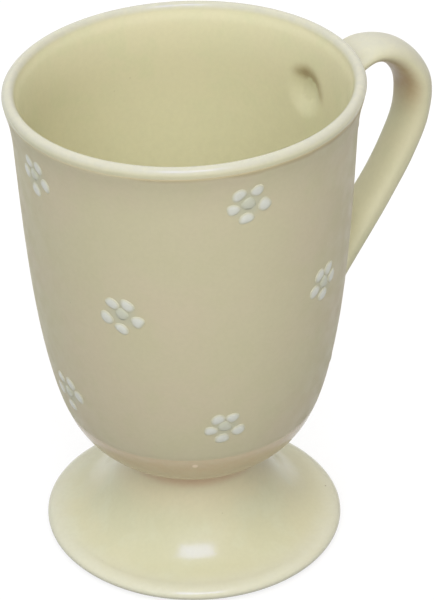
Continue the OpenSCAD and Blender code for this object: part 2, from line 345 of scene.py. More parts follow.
def lip_pale(t, r, z):
    """Where the glaze breaks paler over the lip, 0 to 1."""
    return smooth(z - lip_lean(t, r), *LIP_PALE)


def bowl_painted_shade(t, r, z):
    """Where shade is painted into the glaze: in the crease on the hollow's steep side and at the
    seam with the foot.
    """
    d, to = in_dimple(t, r, z)
    seam = np.where(is_outer(r, z), SEAM_SHARE - SEAM_SHARE * smooth(z, *SEAM_SHADE), 0)
    crease = smooth(to, 0.0, 0.5) * smooth(d, 0.05, 0.65) * (1 - smooth(d, 0.65, 1.3))
    return np.maximum(seam, CREASE_SHARE * crease)


def inside_painted_light(t, r, z):
    """Where light is painted into the inner glaze, far down and on the hollow's lit easy side, 0 to
    1.
    """
    d, to = in_dimple(t, r, z)
    easy = EASY_SHARE * smooth(-to, -0.6, 0.7) * (1 - smooth(d, 0.1, 1.5))
    return np.where(is_inner(r, z), np.maximum(1 - smooth(z, *DEEP_LIGHT), easy), 0)


def shaded_band(t, r, z):
    """The outside below the coat, where shade and warm light off the foot are painted into the
    glaze, 0 to 1.
    """
    return np.where(is_outer(r, z), 1 - smooth(z, *BAND_TOP), 0)


# the bowl's values: the paler lip, painted shade at the seam, in the hollow's crease and below the
# coat, and painted light far down inside
bowl = lathe("bowl_glazed", bowl_profile, BOWL_TURNS, bowl_dimple,
             {"pale": lip_pale, "painted_shade": bowl_painted_shade, "band_shade": shaded_band, "deep": inside_painted_light})

# ---------------------------------------------------------------- slip coat, a thin skin
COAT_PROUD = 0.07
# how the coat's edges and its hidden back lie to the wall, and how far in from its lower and upper
# edge it reaches its full thickness
COAT_SUNK, COAT_BACK, COAT_SOFT_LOW, COAT_SOFT_HIGH = -0.03, -0.2, 2.2, 0.7
# the waves of the coat's edges, as waves() takes them, and how far up from the lower edge the coat
# is thinned out
COAT_LOW_WAVES, COAT_TOP_WAVES = (0.16, 5.0, (1, 2, 3, 5, 8, 13, 21)), (0.05, 6.0, (2, 3, 7, 12))
COAT_THINNED = (0.1, 1.6)
# marks a point of the coat's line as one of its front or of its back
IN_FRONT, BEHIND = 1.0, -0.35


def coat_line():
    """Points round the coat's section as (share of its height, front or back)."""
    front = [(s, IN_FRONT) for s in np.linspace(0, 1, COAT_ROWS)]
    back = [(s, BEHIND) for s in np.linspace(1, 0, COAT_BACK_ROWS)]
    return [back[-1]] + front + back[:-1]


def coat_low(t):
    """The height of the coat's uneven lower edge."""
    return COAT_LOW + waves(t, *COAT_LOW_WAVES)


def coat_hem(t, r, z):
    """Where the coat thins out to its lower edge, 0 to 1."""
    return 1 - smooth(z - coat_low(t), *COAT_THINNED)


def coat_shape(t, s, side):
    low = coat_low(t)
    top = COAT_HIGH + waves(t, *COAT_TOP_WAVES)
    z = low + (top - low) * s
    edge = np.minimum(z - low, top - z)
    soft = np.where(z - low < top - z, COAT_SOFT_LOW, COAT_SOFT_HIGH)
    front = COAT_SUNK + (COAT_PROUD - COAT_SUNK) * smooth(edge, 0, soft)
    return bowl_shape(t, outer_r(z) + np.where(side > 0, front, COAT_BACK), z)


def flower_mid(f):
    """A flower's middle as an angle and a height."""
    return math.radians(f[1]), FOOT_H + ROW_SHARES[f[0]] * (MUG_H - FOOT_H)


# how far the flowers' slip has run out over the coat, how uneven that is, the share of the way from
# which it thins out, and how far out it is worked out at all
HALO_REACH, HALO_FIVES, HALO_THREES, HALO_THINS, HALO_END = 5.2, 0.5, 0.3, 0.35, 8


def coat_halo(t, r, z):
    """How much of the flowers' grey-green slip has run out over the coat, 0 to 1."""
    out = np.zeros_like(t)
    for i, f in enumerate(FLOWERS):
        ft, fz = flower_mid(f)
        right, up = SEEN_CENTRES.get(i, (0, 0))
        ft += right / float(outer_r(fz))
        fz += up
        along = around(t, ft) * outer_r(fz)
        up = (z - fz) / wall_normal(fz)[0]
        d = np.hypot(along, up)
        a = np.arctan2(up, along)
        reach = (HALO_REACH + HALO_FIVES * np.sin(5 * a + i)
                 + HALO_THREES * np.sin(3 * a + 2 * i))
        out = np.maximum(out, (1 - smooth(d, reach * HALO_THINS, reach)) * (d < HALO_END))
    return out


# the lathe hands the coat's line over as it comes: share of the height, then front or back
coat = lathe("slip_coat_skin", coat_line(), COAT_TURNS, coat_shape,
             {"halo": coat_halo, "hem": coat_hem}, closed=True)

# ---------------------------------------------------------------- foot
flare_w = FOOT_R - EDGE_ROUND - NECK_R
flare_h = FOOT_H - EDGE_H
ring_out = FOOT_R - EDGE_ROUND
ring_in = ring_out - RING_W
edge = []
for a in np.linspace(-math.pi / 2, math.pi / 2, EDGE_STEPS):
    edge.append((ring_out + EDGE_ROUND * math.cos(a), EDGE_H / 2 * (1 + math.sin(a))))
flare_pts = [(ring_out - s[0] * flare_w, EDGE_H + s[1] * flare_h) for s in FLARE_SHARES]
flare = curve(flare_pts, (flare_pts[0][0] + EDGE_ROUND, flare_pts[0][1]), FLARE_SPAN)
hollow_h = HOLLOW_H - RING_STEP
hollow_pts = [(s[0] * ring_in, RING_STEP + s[1] * hollow_h) for s in HOLLOW_SHARES]
start_r, start_z = hollow_pts[0]
hollow = curve(hollow_pts, (start_r + RING_STEP, start_z - RING_STEP), HOLLOW_SPAN)
# the top is hidden in the bowl's underside, and the ring's inner edge is rounded off
top_r, top_z = flare[-1]
foot_profile = [(0.0, top_z + 0.8), (top_r * 0.6, top_z + 0.8), (top_r - 0.5, top_z + 0.7)]
foot_profile += [tuple(p) for p in resampled(flare, FLARE_STEP)[::-1]]
foot_profile += edge[::-1][1:]
foot_profile += [(ring_out - 1.0, 0.0)]
foot_profile += [(ring_in + 0.35, 0.0), (ring_in + 0.1, 0.1), (ring_in, 0.35)]
foot_profile += [tuple(p) for p in hollow[:-1]] + [(0.0, hollow[-1][1])]
# how far the foot's oval and its off-centre place go, across the camera's view, how far its
# unevenness goes out and up, and the radii between which each of these begins
FOOT_OVAL, FOOT_ASIDE, FOOT_UNEVEN_OUT, FOOT_UNEVEN_UP = 0.5, 0.2, 0.06, 0.05
OVAL_BEGINS, FOOT_UNEVEN_BEGINS = (16, 34), (4, 16)


def foot_shape(t, r, z):
    """The turned foot made slightly oval and uneven, as by hand."""
    out = smooth(r, *OVAL_BEGINS)
    oval = FOOT_OVAL * np.sin(2 * (t - TURN)) + FOOT_ASIDE * np.cos(t - TURN)
    hand = waves(t, FOOT_UNEVEN_OUT, 3.0) * smooth(r, *FOOT_UNEVEN_BEGINS) - oval * out
    # the standing ring stays flat
    lift = waves(t, FOOT_UNEVEN_UP, 4.0) * smooth(z, 1.5, EDGE_H) * out
    return r + hand, z + lift


# radii between which the foot's glaze pales, and heights between which shade is painted round the
# neck, light is painted on the upper flare, and the gloss dulls
EDGE_PALE, NECK_SHADE, NECK_LIGHT, NECK_DULL = (31, 38.5), (20.6, 23.6), (12.5, 20.5), (7, 12.5)
# how fully the glaze pales at the foot's edge
EDGE_SHARE = 0.8


def foot_pale(t, r, z):
    """Where the glaze breaks paler over the foot's edge, 0 to 1."""
    return EDGE_SHARE * smooth(r, *EDGE_PALE)


def foot_painted_shade(t, r, z):
    """Where shade is painted round the neck, under the bowl, 0 to 1."""
    return smooth(z, *NECK_SHADE)


def foot_neck(t, r, z):
    """The upper part of the flare, under the bowl, where a paler, warmer painted light lifts the
    glaze, 0 to 1.
    """
    return smooth(z, *NECK_LIGHT)


def foot_dull(t, r, z):
    """Where the flare's gloss is softer, 0 to 1."""
    return smooth(z, *NECK_DULL)


# the foot's values: the paler edge, painted shade round the neck, painted light on the upper flare,
# duller gloss
foot = lathe("foot_turned", foot_profile, FOOT_TURNS, foot_shape,
             {"pale": foot_pale, "neck": foot_neck, "painted_shade": foot_painted_shade, "dull": foot_dull})

# ---------------------------------------------------------------- handle
# how far the strap's ends go on into the wall
ROOT_UP, ROOT_LOW = 3.2, 2.4
# the section's exponent: an oval in the arch, flatter faces further down
ARCH_OVAL, HANDLE_FLAT = 0.96, 0.82
# how much wider the strap is at the wall, and over how many millimetres that dies away
ROOT_SWELL, ROOT_REACH = 0.16, 1.6
# the strap's unevenness as by hand: its scale and size
HAND_SCALE, HAND_SIZE = 0.09, 0.12
# shares of the strap's length between which its section flattens, and between which the painted
# shade of the arch starts and ends, the pale glaze of its back ends and the painted light on its
# inner face starts
FLATTENS, SHADE_STARTS, SHADE_ENDS = (0.3, 0.6), (0.05, 0.14), (0.3, 0.46)
PALE_ENDS, LIGHT_STARTS = (0.26, 0.46), (0.45, 0.7)
joint_up = MUG_H - HANDLE_DROP
joint_low = joint_up - HANDLE_SPAN
up_x, low_x = outer_r(joint_up), outer_r(joint_low)


def strap_point(s):
    """A point of the strap's middle line, as its place out and up and its half width and half
    thickness."""
    x = up_x + s[1] * (low_x - up_x)
    return np.array((x + s[0] * HANDLE_OUT, joint_up - s[1] * HANDLE_SPAN,
                     s[2] * HANDLE_W / 2, s[3] * HANDLE_T / 2))


def root_point(p, q, reach):
    return p + reach / math.dist(p[:2], q[:2]) * (p - q)


strap_pts = [strap_point(s) for s in HANDLE_SHARES]
strap_pts = ([root_point(strap_pts[0], strap_pts[1], ROOT_UP)] + strap_pts
             + [root_point(strap_pts[-1], strap_pts[-2], ROOT_LOW)])
before_root = 2 * strap_pts[0] - strap_pts[1]
strap = resampled(curve(strap_pts, before_root, STRAP_SPAN), STRAP_STEP)


def strap_mesh():
    """The strap's points and faces, and where its glaze is paler, where shade is painted in the arch
    and where light is painted on the lower inner face.
    """
    verts, faces, pale, painted_shade, deep = [], [], [], [], []
    n = len(strap)
    for i, p in enumerate(strap):
        a, b = strap[max(0, i - 1)], strap[min(n - 1, i + 1)]
        d = (b - a)[:2]
        d = d / np.linalg.norm(d)
        gap = p[0] - outer_r(np.clip(p[1], FOOT_H, WIDE_Z))
        spread = 1 + ROOT_SWELL * math.exp(-max(0.0, gap) / ROOT_REACH)
        flat = ARCH_OVAL + (HANDLE_FLAT - ARCH_OVAL) * float(smooth(i / n, *FLATTENS))
        in_arch = smooth(i / n, *SHADE_STARTS) * (1 - smooth(i / n, *SHADE_ENDS))
        for k in range(STRAP_SIDES):
            u = 2 * math.pi * k / STRAP_SIDES
            cu, su = math.cos(u), math.sin(u)
            out = p[3] * spread * math.copysign(abs(cu) ** flat, cu)
            side = p[2] * spread * math.copysign(abs(su) ** flat, su)
            v = Vector((p[0] - out * d[1], side, p[1] + out * d[0]))
            w = noise.noise(v * HAND_SCALE) * HAND_SIZE
            verts.append((AXIS_X + v.x - w * d[1] * cu, v.y * (1 + w * 0.02), v.z + w * d[0] * cu))
            pale.append(max(0.0, cu) ** 0.6 * (1 - float(smooth(i / n, *PALE_ENDS))))
            painted_shade.append(float(smooth(-cu, -0.1, 0.9) * in_arch))
            deep.append(float(smooth(-cu, -0.2, 0.8) * smooth(i / n, *LIGHT_STARTS)))
    for i in range(n - 1):
        for k in range(STRAP_SIDES):
            m = (k + 1) % STRAP_SIDES
            a, b = i * STRAP_SIDES, (i + 1) * STRAP_SIDES
            faces.append((a + k, b + k, b + m, a + m))
    faces.append(tuple(range(STRAP_SIDES)))
    faces.append(tuple(reversed(range((n - 1) * STRAP_SIDES, n * STRAP_SIDES))))
    return verts, faces, {"pale": pale, "painted_shade": painted_shade, "deep": deep}


handle = made("handle_strap", *strap_mesh())

# ---------------------------------------------------------------- flowers
# a dab's outline: its exponent, unevenness and taper; its dome's exponents; its underside's place
DAB_OVAL, DAB_UNEVEN, DAB_TAPER, DAB_DOME, DAB_UNDER = 0.9, 0.05, 0.13, (2.2, 0.75), -0.1
# how much the dabs' lengths and widths differ, and what their seeds go up by: from flower to flower
# for petals and centres, and from dab to dab
LENGTH_VARIES, WIDTH_VARIES = 0.06, 0.07
PETAL_SEED, CENTRE_SEED, DAB_SEED = 1.37, 2.9, 2.11
# the way the first petal faces, the number of petals, and how much their places and leans differ
FIRST_PETAL, PETALS, TURN_VARIES, RING_VARIES, LEAN_VARIES = -93, 5, 7, 0.06, 14


def on_wall(t0, z0, along, up, high):
    """A point so many millimetres along the wall and up it from a place, standing out by high."""
    z = z0 + up * wall_normal(z0)[0]
    nr, nz = wall_normal(z)
    t = t0 + along / float(outer_r(z))
    r = float(outer_r(z)) + COAT_PROUD + high * nr
    return AXIS_X + r * math.cos(t), r * math.sin(t), z + high * nz


def add_dab(verts, faces, marks, t0, z0, cx, cy, length, width, high, lean, seed):
    """One soft dab of slip with an uneven oval outline, a domed top and a closed underside. Each
    point is marked with its share of the way out and how far it lies to the dab's low side."""
    base = len(verts)
    tilt = math.radians(lean)
    ca, sa = math.cos(tilt), math.sin(tilt)

    def place(f, phi, h):
        uneven = (1 + DAB_UNEVEN * math.sin(2 * phi + seed)
                  + DAB_UNEVEN * math.sin(3 * phi + 2.1 * seed))
        c, s = math.cos(phi), math.sin(phi)
        taper = 1 - DAB_TAPER * c * math.cos(seed * 3.1)
        x = length / 2 * f * math.copysign(abs(c) ** DAB_OVAL, c) * uneven
        y = width / 2 * f * math.copysign(abs(s) ** DAB_OVAL, s) * uneven * taper
        return on_wall(t0, z0, cx + x * ca - y * sa, cy + x * sa + y * ca, h)

    verts.append(place(0, 0, high))
    marks.append((0.0, 0.0))
    for i in range(1, DAB_RINGS + 1):
        f = math.sin(math.pi / 2 * i / DAB_RINGS)
        h = high * (1 - f ** DAB_DOME[0]) ** DAB_DOME[1] if i < DAB_RINGS else DAB_UNDER
        for k in range(DAB_SIDES):
            phi = 2 * math.pi * k / DAB_SIDES
            verts.append(place(f, phi, h))
            marks.append((f, f * max(0.0, -math.sin(phi + tilt))))
    for k in range(DAB_SIDES):
        n = (k + 1) % DAB_SIDES
        faces.append((base, base + 1 + k, base + 1 + n))
        for i in range(DAB_RINGS - 1):
            a, b = base + 1 + i * DAB_SIDES, base + 1 + (i + 1) * DAB_SIDES
            faces.append((a + k, b + k, b + n, a + n))
    last = base + 1 + (DAB_RINGS - 1) * DAB_SIDES
    faces.append(tuple(last + k for k in reversed(range(DAB_SIDES))))


def dab_piece(name, dabs, t0, z0, length, width, high, seed):
    """All the dabs of one colour in a flower as one mesh."""
    verts, faces, marks = [], [], []
    for k, (x, y, lean) in enumerate(dabs):
        own = seed + k * DAB_SEED
        add_dab(verts, faces, marks, t0, z0, x, y,
                length * (1 + LENGTH_VARIES * math.sin(own * 5)),
                width * (1 + WIDTH_VARIES * math.sin(own * 7)), high, lean, own)
    marks = np.array(marks)
    return made(name, verts, faces, {"rho": marks[:, 0], "low": marks[:, 1]})


def ring_of_dabs(i, f):
    """The petals' dabs round the middle of a flower that the camera doesn't see well."""
    out = []
    for k in range(PETALS):
        a = math.radians(FIRST_PETAL + f[2] + 360 / PETALS * k
                         + TURN_VARIES * math.sin(2.3 * i + 3.7 * k))
        ring = PETAL_RING * (1 + RING_VARIES * math.sin(1.9 * i + 5.1 * k))
        lean = f[3] + LEAN_VARIES * math.sin(4.1 * i + 2.9 * k)
        out.append((ring * math.cos(a), ring * math.sin(a), lean))
    return out


flower_pieces = []
for i, f in enumerate(FLOWERS):
    t0, z0 = flower_mid(f)
    dabs = SEEN_DABS.get(i) or ring_of_dabs(i, f)
    petals = dab_piece("flower_%d_petal_dabs" % (i + 1), dabs, t0, z0,
                       PETAL_L, PETAL_W, PETAL_HIGH, i * PETAL_SEED)
    x, y = SEEN_CENTRES.get(i, (0, 0))
    centre = dab_piece("flower_%d_centre_dab" % (i + 1), [(x, y, f[3])], t0, z0,
                       CENTRE_L, CENTRE_W, CENTRE_HIGH, i * CENTRE_SEED)
    flower_pieces.append((i + 1, petals, centre))


# ---------------------------------------------------------------- materials
def linear(c):
    """A channel of 0 to 255 as a linear value."""
    return ((c / 255 + 0.055) / 1.055) ** 2.4 if c > 10.3 else c / 255 / 12.92


def srgb(r, g, b):
    return (linear(r), linear(g), linear(b), 1.0)


class Nodes:
    """A material's node tree, with short names for the nodes that the materials share."""

    def __init__(self, name):
        self.mat = bpy.data.materials.new(name)
        self.mat.use_nodes = True
        self.tree = self.mat.node_tree
        self.tree.nodes.clear()
        self.out = self.add("ShaderNodeOutputMaterial")
        self.place = self.add("ShaderNodeTexCoord").outputs["Object"]

    def add(self, kind, **props):
        n = self.tree.nodes.new(kind)
        for k, v in props.items():
            setattr(n, k, v)
        return n

    def link(self, a, b):
        self.tree.links.new(a, b)

    def noise(self, scale, detail=3.0, shift=(0, 0, 0)):
        n = self.add("ShaderNodeTexNoise")
        n.inputs["Scale"].default_value = scale
        n.inputs["Detail"].default_value = detail
        n.inputs["Roughness"].default_value = 0.55
        self.link(self.shifted(shift), n.inputs["Vector"])
        return n.outputs["Fac"]

    def shifted(self, shift):
        m = self.add("ShaderNodeMapping")
        m.inputs["Location"].default_value = shift
        self.link(self.place, m.inputs["Vector"])
        return m.outputs["Vector"]

    def span(self, value, a, b, c=0.0, d=1.0):
        """A soft step: c where the value is a, d where it is b."""
        m = self.add("ShaderNodeMapRange", interpolation_type="SMOOTHSTEP")
        for key, v in zip(("From Min", "From Max", "To Min", "To Max"), (a, b, c, d)):
            m.inputs[key].default_value = v
        self.link(value, m.inputs["Value"])
        return m.outputs["Result"]

    def mix(self, fac, a, b, mode="MIX"):
        """A mix of two colours; 0, 6 and 7 are its sockets for the share and for them."""
        m = self.add("ShaderNodeMix", data_type="RGBA", blend_type=mode)
        for key, v in ((0, fac), (6, a), (7, b)):
            if isinstance(v, (int, float, tuple)):
                m.inputs[key].default_value = v
            else:
                self.link(v, m.inputs[key])
        return m.outputs[2]

    def math(self, op, a, b):
        m = self.add("ShaderNodeMath", operation=op)
        for k, v in enumerate((a, b)):
            if isinstance(v, (int, float)):
                m.inputs[k].default_value = v
            else:
                self.link(v, m.inputs[k])
        return m.outputs[0]

    def height(self):
        s = self.add("ShaderNodeSeparateXYZ")
        self.link(self.place, s.inputs[0])
        return s.outputs["Z"]

    def attribute(self, name):
        return self.add("ShaderNodeAttribute", attribute_name=name).outputs["Fac"]

    def specks(self, scale, size, share, shift=(0, 0, 0)):
        """Small round specks: 1 inside a speck, in that share of the cells."""
        v = self.add("ShaderNodeTexVoronoi")
        v.inputs["Scale"].default_value = scale
        self.link(self.shifted(shift), v.inputs["Vector"])
        near = self.span(v.outputs["Distance"], size, size * 0.4)
        s = self.add("ShaderNodeSeparateColor")
        self.link(v.outputs["Color"], s.inputs[0])
        few = self.span(s.outputs[0], share, share * 0.7)
        return self.math("MULTIPLY", near, few)

    def bump(self, height, strength, distance, shader):
        b = self.add("ShaderNodeBump")
        b.inputs["Strength"].default_value = strength
        b.inputs["Distance"].default_value = distance
        self.link(height, b.inputs["Height"])
        self.link(b.outputs["Normal"], shader.inputs["Normal"])


SPECK_DARK, SPECK_PALE = srgb(110, 98, 78), srgb(150, 140, 112)
GRAIN_LOW, GRAIN_HIGH = (0.988, 0.988, 0.988, 1), (1.01, 1.01, 1.01, 1)
# how much a dull place adds to the roughness
DULLED = 0.085


def glaze(name, colors, gloss, spec=0.35, tints=(), top_edge=None, dull=None):
    """A glaze: its colour drifts between a warm and a cool tone, with specks, pinholes and a soft
    gloss. tints are attributes that turn it to a colour, painted shade and painted light among them,
    top_edge paints shade in between two heights, and dull is an attribute that softens the gloss."""
    n = Nodes(name)
    base, warm, cool = colors
    big = n.noise(42, 2.0)
    mid = n.noise(130, shift=(0.3, 0.1, 0.2))
    fine = n.noise(900, 2.0, (0.7, 0.2, 0.5))
    col = n.mix(n.span(big, 0.35, 0.65), base, warm)
    col = n.mix(n.math("MULTIPLY", n.span(mid, 0.45, 0.7), 0.55), col, cool)
    # painted shade between two heights
    if top_edge:
        lo, hi, color = top_edge
        wobble = n.math("SUBTRACT", n.noise(150, 2.0, (0.9, 0.4, 0.1)), 0.5)
        z = n.math("ADD", n.height(), n.math("MULTIPLY", wobble, 1.2 * MM))
        col = n.mix(n.span(z, lo * MM, hi * MM), col, color)
    for attr, color in tints:
        patchy = n.span(n.noise(420, 2.0), 0.2, 0.75, 0.75, 1.0)
        col = n.mix(n.math("MULTIPLY", n.attribute(attr), patchy), col, color)
    col = n.mix(1.0, col, n.mix(n.span(fine, 0.3, 0.7), GRAIN_LOW, GRAIN_HIGH), "MULTIPLY")
    dark = n.specks(150, 0.05, 0.10)
    col = n.mix(n.math("MULTIPLY", dark, 0.55), col, SPECK_DARK)
    pale = n.specks(230, 0.07, 0.12, (0.13, 0.37, 0.21))
    col = n.mix(n.math("MULTIPLY", pale, 0.25), col, SPECK_PALE)
    sh = n.add("ShaderNodeBsdfPrincipled")
    n.link(col, sh.inputs["Base Color"])
    rough = n.span(n.noise(260, shift=(0.5, 0.5, 0.1)), 0.3, 0.7, gloss * 0.85, gloss * 1.2)
    if dull:
        rough = n.math("ADD", rough, n.math("MULTIPLY", n.attribute(dull), DULLED))
    n.link(rough, sh.inputs["Roughness"])
    sh.inputs["IOR"].default_value = 1.5
    sh.inputs["Specular IOR Level"].default_value = spec
    swell = n.noise(170, 2.0, (0.2, 0.8, 0.4))
    swell = n.math("ADD", swell, n.math("MULTIPLY", n.noise(700, 2.0), 0.15))
    swell = n.math("SUBTRACT", swell, n.math("MULTIPLY", dark, 0.4))
    n.bump(swell, 0.008, 0.6 * MM, sh)
    n.link(sh.outputs["BSDF"], n.out.inputs["Surface"])
    return n, sh, col


# each glaze's own colour and the warm and the cool tone that it drifts to
CREAM = srgb(206, 203, 170), srgb(208, 203, 171), srgb(202, 202, 167)
FOOT_CREAM = srgb(196, 194, 162), srgb(200, 196, 164), srgb(200, 200, 172)
BEIGE = srgb(196, 190, 159), srgb(198, 189, 161), srgb(194, 189, 156)
# where the glaze is thin over the lip, the foot's edge and the handle's back
PALE, FOOT_PALE = srgb(187, 186, 171), srgb(204, 203, 184)
# painted shade: in the hollow's crease behind the handle and at the bowl's seam, in the handle's
# arch and round the neck
BOWL_SHADE, ARCH_SHADE, FOOT_SHADE = srgb(150, 128, 94), srgb(184, 160, 124), srgb(192, 168, 138)
# painted shade under the coat, painted light far down inside and on the handle's lower inner face,
# and painted light on the upper flare; the coat's lower edge, and painted shade at its upper edge
# under the lip
BAND_SHADE_TONE, PAINTED_LIGHT_TONE, FOOT_NECK_LIGHT = srgb(203, 184, 150), srgb(219, 216, 184), srgb(207, 199, 167)
HEM, COAT_TOP_SHADE = srgb(198, 187, 155), srgb(182, 170, 136)
# the flowers' slip: run out over the coat, the petals and the centres, and the shadow painted below
# the centres
GREENISH, PETAL, PETAL_RIM = srgb(188, 188, 164), srgb(211, 213, 204), srgb(196, 194, 170)
CENTRE, CENTRE_RIM, CENTRE_SHADOW = srgb(194, 196, 179), srgb(189, 190, 168), srgb(142, 140, 122)
# the bare clay of the standing ring
CLAY, CLAY_PALE = srgb(196, 176, 148), srgb(214, 198, 172)
# the colour of the painted glint
PAINTED_GLINT = srgb(232, 214, 186)
# a small painted glint, the foot's reflection, in the glaze above the neck: its height, how far
# right of the middle it lies as the camera sees it, and its size
GLINT_Z, GLINT_RIGHT, GLINT_SIZE = 38.9, 0.35, 0.95


def bowl_material():
    """The bowl's glaze with its painted glint."""
    # its tints paint light far down inside, and shade in the hollow's crease, at the seam and below
    # the coat
    n, sh, col = glaze("cream_glaze_look", CREAM, 0.2,
                       tints=[("deep", PAINTED_LIGHT_TONE), ("pale", PALE), ("painted_shade", BOWL_SHADE), ("band_shade", BAND_SHADE_TONE)])
    # a painted glint, the foot's reflection, on the band below the coat
    away = n.add("ShaderNodeVectorMath", operation="DISTANCE")
    n.link(n.place, away.inputs[0])
    near = math.sqrt(float(outer_r(GLINT_Z)) ** 2 - GLINT_RIGHT ** 2)
    away.inputs[1].default_value = (
        (AXIS_X + GLINT_RIGHT * math.cos(TURN) + near * math.sin(TURN)) * MM,
        (GLINT_RIGHT * math.sin(TURN) - near * math.cos(TURN)) * MM, GLINT_Z * MM)
    glint = n.span(away.outputs["Value"], GLINT_SIZE * MM, GLINT_SIZE * 0.45 * MM)
    n.link(n.mix(glint, col, PAINTED_GLINT), sh.inputs["Base Color"])
    return n.mat


def foot_material():
    """The foot's glaze, wiped off the standing ring, where the pale clay shows."""
    # the foot's tints paint light on the upper flare and shade round the neck
    n, sh, col = glaze("foot_glaze_look", FOOT_CREAM, 0.15, dull="dull",
                       tints=[("pale", FOOT_PALE), ("neck", FOOT_NECK_LIGHT), ("painted_shade", FOOT_SHADE)])
    clay = n.mix(n.span(n.noise(1500, 4.0), 0.3, 0.7), CLAY, CLAY_PALE)
    wobble = n.math("MULTIPLY", n.noise(300, 2.0, (0.1, 0.6, 0.9)), 0.5 * MM)
    bare = n.span(n.math("ADD", n.height(), wobble), 0.9 * MM, 0.5 * MM)
    n.link(n.mix(bare, col, clay), sh.inputs["Base Color"])
    return n.mat


def dab_material(name, core, rim, gap=None):
    """Slip dab: its colour thins towards the rim, and a painted shadow may lie along its low side.
    """
    n = Nodes(name)
    col = n.mix(n.span(n.noise(900), 0.3, 0.7), core, n.mix(0.2, core, rim))
    col = n.mix(n.span(n.attribute("rho"), 0.5, 1.0), col, rim)
    if gap:
        col = n.mix(n.span(n.attribute("low"), 0.62, 0.92), col, gap)
    sh = n.add("ShaderNodeBsdfPrincipled")
    n.link(col, sh.inputs["Base Color"])
    n.link(n.span(n.noise(600, 2.0), 0.3, 0.7, 0.3, 0.42), sh.inputs["Roughness"])
    n.bump(n.noise(1100, 2.0), 0.08, 0.3 * MM, sh)
    n.link(sh.outputs["BSDF"], n.out.inputs["Surface"])
    return n.mat


bowl_look = bowl_material()
# the handle's glaze gets painted shade in its arch and painted light on its lower inner face
handle_look, _, _ = glaze("handle_glaze_look", CREAM, 0.36, 0.25,
                          tints=[("deep", PAINTED_LIGHT_TONE), ("pale", PALE), ("painted_shade", ARCH_SHADE)])
# the coat's top edge, under the lip's roll, is darkened with painted shade
coat_look, _, _ = glaze("slip_coat_look", BEIGE, 0.48, 0.3,
                        tints=[("halo", GREENISH), ("hem", HEM)],
                        top_edge=(COAT_HIGH - 1.6, COAT_HIGH - 0.3, COAT_TOP_SHADE))
foot_look = foot_material()
petal_look = dab_material("petal_slip_look", PETAL, PETAL_RIM)
# the centres get a painted shadow along their low side
centre_look = dab_material("centre_slip_look", CENTRE, CENTRE_RIM, CENTRE_SHADOW)


# ---------------------------------------------------------------- what rides and what it replaces
def stand_in(ob, mat, node):
    """The piece gets its look, rides on the one body and stands for the CAD node."""
    ob.data.materials.append(mat)
    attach(ob, "root")
    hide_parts(node)


stand_in(bowl, bowl_look, "bowl")
stand_in(coat, coat_look.mat, "slip_coat")
stand_in(foot, foot_look, "foot")
stand_in(handle, handle_look.mat, "handle")
for k, petals, centre in flower_pieces:
    stand_in(petals, petal_look, "flower_%d_petals" % k)
    stand_in(centre, centre_look, "flower_%d_centre" % k)


# ---------------------------------------------------------------- stage, light and camera
def turned(x, y, z):
    """A place given with the camera looking along +Y past the mug's axis, in the part's frame."""
    c, s = math.cos(TURN), math.sin(TURN)
    return Vector((AXIS_X * MM + x * c - y * s, x * s + y * c, z))


# the floor's half side in metres, its two grays, and the light that it adds where it is seen
FLOOR_SIDE, PAPER_LOW, PAPER_HIGH, FLOOR_GLOW = 3.0, (0.22,) * 3 + (1,), (0.24,) * 3 + (1,), 0.77


def stage_floor():
    """A pale floor, white to the camera and in reflections and gray to what it lights."""
    a = FLOOR_SIDE
    me = bpy.data.meshes.new("floor")
    me.from_pydata([(-a, -a, 0), (a, -a, 0), (a, a, 0), (-a, a, 0)], [], [(0, 1, 2, 3)])
    ob = bpy.data.objects.new("floor", me)
    bpy.context.scene.collection.objects.link(ob)
    n = Nodes("floor_look")
    diff = n.add("ShaderNodeBsdfDiffuse")
    n.link(n.mix(n.noise(300, 2.0), PAPER_LOW, PAPER_HIGH), diff.inputs["Color"])
    glow = n.add("ShaderNodeEmission")
    glow.inputs["Color"].default_value = (1, 1, 1, 1)
    glow.inputs["Strength"].default_value = FLOOR_GLOW
    path = n.add("ShaderNodeLightPath")
    seen = n.math("MAXIMUM", path.outputs["Is Camera Ray"], path.outputs["Is Transmission Ray"])
    seen = n.math("MAXIMUM", seen, path.outputs["Is Glossy Ray"])
    both = n.add("ShaderNodeAddShader")
    n.link(diff.outputs[0], both.inputs[0])
    n.link(glow.outputs[0], both.inputs[1])
    pick = n.add("ShaderNodeMixShader")
    n.link(seen, pick.inputs[0])
    n.link(diff.outputs[0], pick.inputs[1])
    n.link(both.outputs[0], pick.inputs[2])
    n.link(pick.outputs[0], n.out.inputs["Surface"])
    me.materials.append(n.mat)


stage_floor()


def softbox(name, place, aim, size, power, color):
    data = bpy.data.lights.new(name, "AREA")
    data.shape = "RECTANGLE"
    data.size, data.size_y = size
    data.energy = power
    data.color = color
    ob = bpy.data.objects.new(name, data)
    bpy.context.scene.collection.objects.link(ob)
    ob.location = place
    ob.rotation_euler = (aim - place).to_track_quat("-Z", "Y").to_euler()
    return ob


# how far off the lamps stand and the height that they aim at, in metres
BOX_AWAY, AIM_Z = 1.5, 0.07
PLAIN, WARM, DAY, SKY = (1, 1, 1), (1, 0.93, 0.86), (0.88, 0.93, 1.0), (0.42, 0.47, 1.0)
